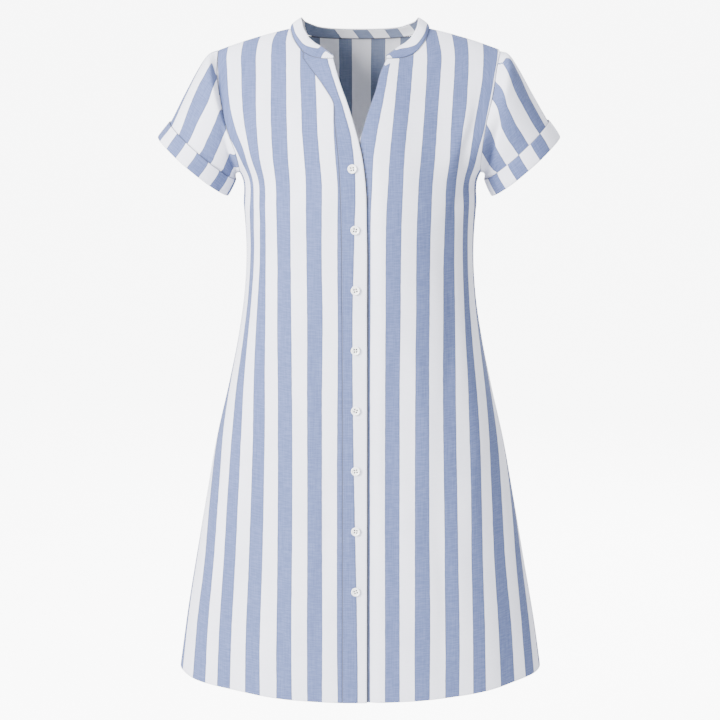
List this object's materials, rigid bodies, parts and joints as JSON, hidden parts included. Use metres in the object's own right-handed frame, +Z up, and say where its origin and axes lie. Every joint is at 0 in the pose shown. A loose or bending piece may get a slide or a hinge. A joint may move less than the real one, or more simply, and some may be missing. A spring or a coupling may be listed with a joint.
{
  "type": "shirt dress",
  "caption": "Hollow knee-length woven shirt dress with a band collar, open V, buttoned placket, short set-in sleeves with turned cuffs and an A-line skirt.",
  "frame": {"origin": "midway between the two high shoulder points, where the neckline meets the shoulder seams and the wearer holds the dress up", "axes": "+Z up, -Y out of the front, +X towards the wearer's left"},
  "size_m": [0.5175, 0.2463, 0.8744],
  "materials": {
    "striped_cloth": "matt woven cotton, blue and white stripes",
    "placket_cloth": "matt woven cotton, blue with a white edge stripe",
    "collar_cloth": "matt woven cotton, stripes along the band",
    "cuff_cloth": "matt woven cotton, blue and white stripes",
    "button_shell": "polished white resin"
  },
  "bodies": {
    "root": {"front_right": "striped_cloth", "front_left": "striped_cloth", "back": "striped_cloth", "placket": "placket_cloth", "collar_band": "collar_cloth", "sleeve_right": "striped_cloth", "sleeve_left": "striped_cloth", "cuff_right": "cuff_cloth", "cuff_left": "cuff_cloth", "button_1": "button_shell", "button_2": "button_shell", "button_3": "button_shell", "button_4": "button_shell", "button_5": "button_shell", "button_6": "button_shell", "button_7": "button_shell", "button_8": "button_shell"}
  },
  "joints": []
}
